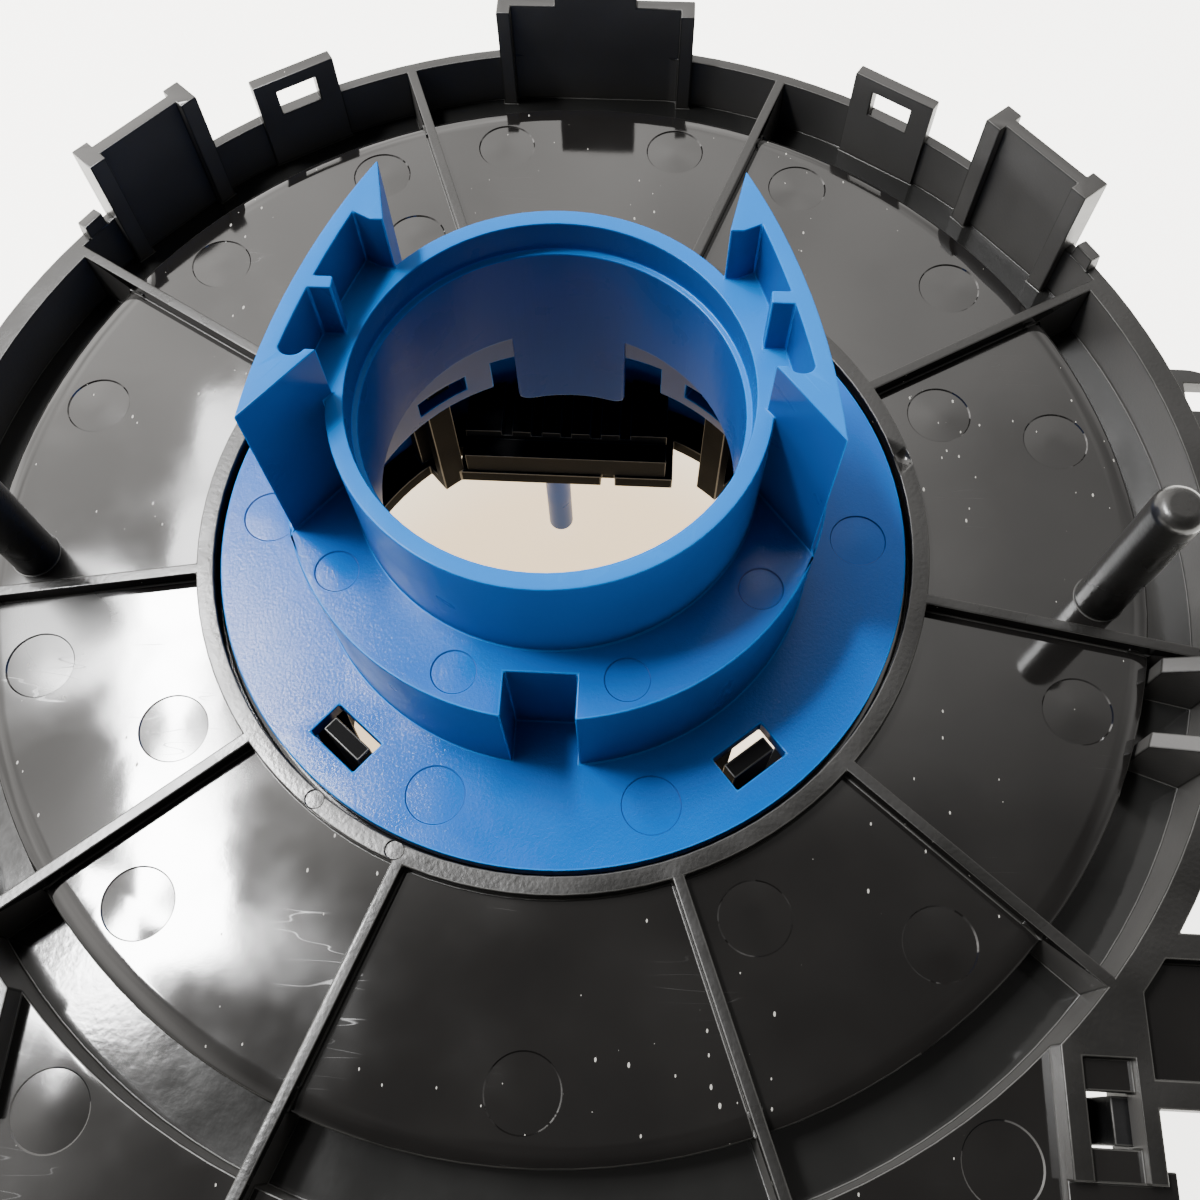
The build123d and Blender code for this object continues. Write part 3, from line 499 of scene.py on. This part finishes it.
def plate_bows():
    """Cutters that bow the plates' outer edges, one between each pair of ribs."""
    cutters = []
    for start, end in zip(RIB_ANGLES, RIB_ANGLES[1:] + (RIB_ANGLES[0] + 360,)):
        outline = PLATE_BOW + ((PLATE_BOW[-1][0], -BOW_HEADROOM), (PLATE_BOW[0][0], -BOW_HEADROOM))
        margin = degrees(RIB_HALF / PLATE_BOW[2][0])
        first = radians(start + margin - 90)
        bpy.ops.object.select_all(action="DESELECT")
        bpy.ops.mesh.primitive_circle_add(vertices=len(outline), fill_type="NGON")
        cutter = bpy.context.object
        for vertex, (radius, drop) in zip(cutter.data.vertices, outline):
            vertex.co = Vector((radius * cos(first), radius * sin(first), PLATE_LEVEL - drop)) * MM
        bpy.ops.object.mode_set(mode="EDIT")
        bpy.ops.mesh.select_all(action="SELECT")
        bpy.ops.mesh.spin(steps=BOW_STEPS, angle=-radians(end - start - 2 * margin), center=(0, 0, 0),
                          axis=(0, 0, 1))
        bpy.ops.mesh.select_all(action="SELECT")
        bpy.ops.mesh.normals_make_consistent(inside=False)
        bpy.ops.object.mode_set(mode="OBJECT")
        cutters.append(cutter)
    return joined(cutters, "plate bows")


def on_post_top(piece, edge):
    """True for an edge at the top of a post."""
    return all(abs(end.z - POST_TOP) < SAME_LEVEL
               and hypot(abs(end.x) - POST_PLACE[0], end.y - POST_PLACE[1]) < POST_TOP_REACH
               for end in edge_ends(piece, edge))


# The cover's material slots beyond its main finish and its rounded edges.
RIB_TOP, WALL, BAND, OUTSIDE = 2, 3, 4, 5


def cover_slot(face):
    """Material slot of one face of the cover."""
    x, y, height = face.center / MM
    on_post = hypot(abs(x) - POST_PLACE[0], y - POST_PLACE[1]) < POST_REACH and height > POST_FOOT
    if facing_up(face, RIB_LEVEL) or on_post:
        return RIB_TOP
    if face.material_index != MAIN or hypot(x, y) <= WALL_START:
        return face.material_index
    outward = face.normal.x * x + face.normal.y * y
    if outward > 0.5 * hypot(x, y):
        return OUTSIDE
    # Inner walls out here take the lighter grey: painted light.
    if face.normal.z < 0.9:
        return WALL
    return BAND if facing_up(face, BAND_LEVEL) else MAIN


cover_black = polished_black()
rib_black = moulded_black("moulded PBT, eroded rib top", ("#10100f", "#1d1c1b"), sheen=(0.22, 0.34),
                          grain_size=0.4, grain_depth=0.03)
# Much lighter than the plates' black: painted light on the walls.
eroded_wall_painted_light = moulded_black("moulded PBT, eroded wall, painted lighter", ("#403f3e", "#4e4d4b"), sheen=(0.3, 0.42),
                           grain_size=0.3, grain_depth=0.02)
band_black = moulded_black("moulded PBT, satin band", ("#131313", "#1e1e1d"), sheen=(0.08, 0.15),
                           grain_size=0.8, grain_depth=0.01, shine=0.6)
rear_cover = merged_copy("rear_cover", "rear_cover_moulding", cover_black, rubbed_and_highlighted_edge, rib_black, eroded_wall_painted_light,
                         band_black, satin_black)
select_where(rear_cover, "polygons", lambda face: facing_up(face, PLATE_LEVEL) or facing_up(face, POST_TOP))
bpy.ops.mesh.dissolve_limited(angle_limit=SAME_PLANE)
bpy.ops.object.mode_set(mode="OBJECT")
select_where(rear_cover, "edges", lambda edge: on_post_top(rear_cover, edge))
bpy.ops.mesh.bevel(offset=POST_ROUND * MM, segments=4, clamp_overlap=False)
bpy.ops.object.mode_set(mode="OBJECT")
cut_away(rear_cover, plate_bows())
round_edges(rear_cover, COVER_ROUND)
cut_away(rear_cover, pin_marks("cover pins", COVER_MARKS, COVER_MARK_DEPTH))
for face in rear_cover.data.polygons:
    face.material_index = cover_slot(face)
finish_piece(rear_cover, "housing", "cover", "rear_cover")


# ---- Hub
# One blue moulding in POM: collar, step, cancelling cams and flange.  The flange and step tops are
# spark-eroded to a fine grain, the walls are smoother, and the core has drawn fine lines down the bore.
# The walls and the bore are painted a darker blue as painted shade, and the rounded edges and the tops of
# the collar and cams a lighter blue as painted highlight.
FLANGE_LEVEL = -12.0
STEP_LEVEL = 0.0
COLLAR_FOOT = 1.0  # what faces up above this is the top of the collar or of a cam
BORE_REACH = 15.8
HUB_ROUND = 0.16
HUB_MARKS = ([(27.6, angle, FLANGE_LEVEL, 2.5) for angle in (19.5, -19.5, 90, -90)]
             + [(20.4, angle, STEP_LEVEL, 1.75) for angle in (19.5, -19.5, 57.5, -57.5)])
HUB_MARK_DEPTH = 0.10
BLUE_CLOUD = 6
ERODED_GRAIN = 0.28


def moulded_blue(name, colours, sheen, grain_depth, shine, pull=1.0):
    """Moulded POM: saturated blue, slightly waxy, with the tool's grain, which a small pull draws out."""
    material, tree, shader = new_material(name)
    place = add(tree, "TexCoord").outputs["Object"]
    cloud = add(tree, "TexNoise", {"Vector": place, "Scale": 1 / (BLUE_CLOUD * MM), "Detail": 4.0,
                                   "Distortion": 0.6})
    drawn = add(tree, "Mapping", {"Vector": place, "Scale": (1, 1, pull)})
    grain = add(tree, "TexNoise", {"Vector": drawn.outputs["Vector"], "Scale": 1 / (ERODED_GRAIN * MM),
                                   "Detail": 3.0, "Roughness": 0.7})
    tint = add(tree, "Mix", {"Factor": cloud.outputs["Fac"], "A": linear(colours[0]),
                             "B": linear(colours[1])}, data_type="RGBA")
    tree.links.new(tint.outputs["Result"], shader.inputs["Base Color"])
    rough = add(tree, "MapRange", {"Value": cloud.outputs["Fac"], "From Min": 0.3, "From Max": 0.7,
                                   "To Min": sheen[0], "To Max": sheen[1]})
    tree.links.new(rough.outputs["Result"], shader.inputs["Roughness"])
    bump = add(tree, "Bump", {"Height": grain.outputs["Fac"], "Strength": 0.5,
                              "Distance": grain_depth * MM})
    tree.links.new(bump.outputs["Normal"], shader.inputs["Normal"])
    shader.inputs["IOR"].default_value = 1.48
    shader.inputs["Specular IOR Level"].default_value = shine
    return material


# The hub's material slots beyond its main finish and its rounded edges.
GRAINED, BORE = 2, 3


def hub_slot(face):
    """Material slot of one face of the hub."""
    x, y, height = face.center / MM
    if face.material_index == MAIN and (facing_up(face, FLANGE_LEVEL) or facing_up(face, STEP_LEVEL)):
        return GRAINED
    # The tops of the collar and cams take the lighter edge blue: a painted highlight.
    if face.normal.z > 0.5 and height > COLLAR_FOOT:
        return ROUNDED
    if hypot(x, y) < BORE_REACH and abs(face.normal.z) < 0.1:
        return BORE
    return face.material_index


# One blue in tones: darker on the walls and bore (painted shade), lighter on edges and tops (painted
# highlight).
shaded_wall_blue = moulded_blue("moulded POM, smooth, painted shade", ("#073d80", "#09478e"), sheen=(0.26, 0.38),
                         grain_depth=0.008, shine=0.18)
highlighted_edge_blue = moulded_blue("moulded POM, rounded edge, painted highlight", ("#0563b4", "#0a70c0"), sheen=(0.2, 0.3),
                         grain_depth=0.01, shine=0.08)
grain_blue = moulded_blue("moulded POM, spark-eroded", ("#0050a2", "#005aae"), sheen=(0.10, 0.18),
                          grain_depth=0.04, shine=0.22)
bore_blue = moulded_blue("moulded POM, drawn core", ("#08458c", "#0a4f9b"), sheen=(0.24, 0.36),
                         grain_depth=0.03, shine=0.05, pull=0.03)
hub = merged_copy("hub", "hub_moulding", shaded_wall_blue, highlighted_edge_blue, grain_blue, bore_blue)
round_edges(hub, HUB_ROUND)
cut_away(hub, pin_marks("hub pins", HUB_MARKS, HUB_MARK_DEPTH))
for face in hub.data.polygons:
    face.material_index = hub_slot(face)
finish_piece(hub, "rotor", "hub_blue", "hub")


# ---- Index pin
# A peg moulded in the same blue POM, smooth all over.  It locks the hub at its middle until the part is
# fitted.
PIN_ROUND = 0.1
# Its rounded edges take the lighter blue: a painted highlight.
pin = merged_copy("index_pin", "index_pin_moulding", shaded_wall_blue, highlighted_edge_blue)
round_edges(pin, PIN_ROUND)
finish_piece(pin, "rotor", "hub_blue", "index_pin")


# ---- Front rotor
# The wheel-side plate with its two plug sockets and the drive lug, in matt black PBT.  Its skin scatters
# so much that it hardly mirrors the table, so its index is set below that of PBT.
ROTOR_ROUND = 0.14
rotor_black = moulded_black("moulded PBT, matt plate", ("#0c0c0d", "#141414"), sheen=(0.55, 0.7),
                            grain_size=0.35, grain_depth=0.02, shine=0.15, index=1.2)
rotor = merged_copy("front_rotor", "front_rotor_moulding", rotor_black, rubbed_and_highlighted_edge)
round_edges(rotor, ROTOR_ROUND)
finish_piece(rotor, "rotor", "housing", "front_rotor")


# ---- Studio
# A plain pale light table that the sockets rest on, its glow painted dimmer and warmer under the part as a
# painted shadow, and a long soft window high on the left with a short lower pane and a dim blind, in metres
# and watts.
FLOOR_SIZE = 6.0
GLOW_START, GLOW_END, PAINTED_SHADE_TINT_END = 25, 70, 60
GLOW_IN_PAINTED_SHADE, GLOW_OUTSIDE = 2.0, 3.8
WINDOW_HEIGHT = 0.603
WINDOW_TURN = radians(14)
bpy.ops.object.select_all(action="DESELECT")
bpy.ops.mesh.primitive_plane_add(size=FLOOR_SIZE, location=(0, 0, cad_box[0][2]))
floor = bpy.context.object
floor.name = "floor"
floor_paper, tree, shader = new_material("floor paper")
shader.inputs["Base Color"].default_value = linear("#e9e7e2")
shader.inputs["Roughness"].default_value = 0.7
place = add(tree, "TexCoord").outputs["Object"]
out = add(tree, "VectorMath", {0: place}, operation="LENGTH").outputs["Value"]
# The glow is lowest under the part: a painted shadow.
glow_with_painted_shade = add(tree, "MapRange", {"Value": out, "From Min": GLOW_START * MM, "From Max": GLOW_END * MM,
                              "To Min": GLOW_IN_PAINTED_SHADE, "To Max": GLOW_OUTSIDE}, interpolation_type="SMOOTHSTEP")
tree.links.new(glow_with_painted_shade.outputs["Result"], shader.inputs["Emission Strength"])
# The glow turns warmer under the part, as part of the same painted shadow.
painted_shade_tint_share = add(tree, "MapRange", {"Value": out, "From Min": GLOW_START * MM, "From Max": PAINTED_SHADE_TINT_END * MM})
painted_shade_tint = add(tree, "Mix", {"Factor": painted_shade_tint_share.outputs["Result"], "A": linear("#ffe0b0"),
                         "B": linear("#fffdf6")}, data_type="RGBA")
tree.links.new(painted_shade_tint.outputs["Result"], shader.inputs["Emission Color"])
floor.data.materials.append(floor_paper)


def window_light(name, x, y, size, power, turn=0.0):
    """A white rectangular light at the window's height that faces down."""
    data = bpy.data.lights.new(name, "AREA")
    data.shape = "RECTANGLE"
    data.size, data.size_y = size
    data.energy = power
    light = bpy.data.objects.new(name, data)
    light.matrix_world = Matrix.Translation((x, y, WINDOW_HEIGHT)) @ Matrix.Rotation(turn, 4, "Z")
    bpy.context.scene.collection.objects.link(light)


window_light("window", -0.280, 0.145, (0.055, 0.25), 8.0, WINDOW_TURN)
window_light("window's lower pane", -0.294, 0.036, (0.05, 0.08), 2.2)
window_light("window's blind", -0.290, 0.350, (0.04, 0.14), 0.5)


# ---- Room
# The light of a plain room, by direction: bright on the left, less so on the right and in front, dark
# overhead where a person leans in, and a little uneven, as walls and furniture make it.
LEFT_LIGHT, RIGHT_LIGHT, RIGHT_END = 4.6, 1.0, 0.6
FRONT_SHARE, FRONT_START, FRONT_END = 0.1, -0.6, 0.35
PERSON_TOWARD = (0.2, -0.35, 0.915)
PERSON_SHARE, PERSON_EDGE, PERSON_CORE = 0.10, 0.68, 0.85
PATCH_SCALE = 3.2
PATCH_DARK, PATCH_BRIGHT = 0.65, 1.4
world = bpy.data.worlds.new("studio")
world.use_nodes = True
tree = world.node_tree
toward = add(tree, "TexCoord").outputs["Generated"]
parts = add(tree, "SeparateXYZ", {"Vector": toward})
sides = add(tree, "MapRange", {"Value": parts.outputs["X"], "From Min": -1.0, "From Max": RIGHT_END,
                               "To Min": LEFT_LIGHT, "To Max": RIGHT_LIGHT})
front = add(tree, "MapRange", {"Value": parts.outputs["Y"], "From Min": FRONT_START, "From Max": FRONT_END,
                               "To Min": FRONT_SHARE, "To Max": 1.0})
near = add(tree, "VectorMath", {0: toward, 1: PERSON_TOWARD}, operation="DOT_PRODUCT")
person = add(tree, "MapRange", {"Value": near.outputs["Value"], "From Min": PERSON_EDGE,
                                "From Max": PERSON_CORE, "To Min": 1.0, "To Max": PERSON_SHARE},
             interpolation_type="SMOOTHSTEP")
uneven = add(tree, "TexNoise", {"Vector": toward, "Scale": PATCH_SCALE, "Detail": 2.0})
patches = add(tree, "MapRange", {"Value": uneven.outputs["Fac"], "From Min": 0.36, "From Max": 0.64,
                                 "To Min": PATCH_DARK, "To Max": PATCH_BRIGHT})
strength = sides.outputs["Result"]
for share in (front, person, patches):
    product = add(tree, "Math", {0: strength, 1: share.outputs["Result"]}, operation="MULTIPLY")
    strength = product.outputs["Value"]
tree.links.new(strength, tree.nodes["Background"].inputs["Strength"])
tree.nodes["Background"].inputs["Color"].default_value = linear("#f4f1ed")
bpy.context.scene.world = world
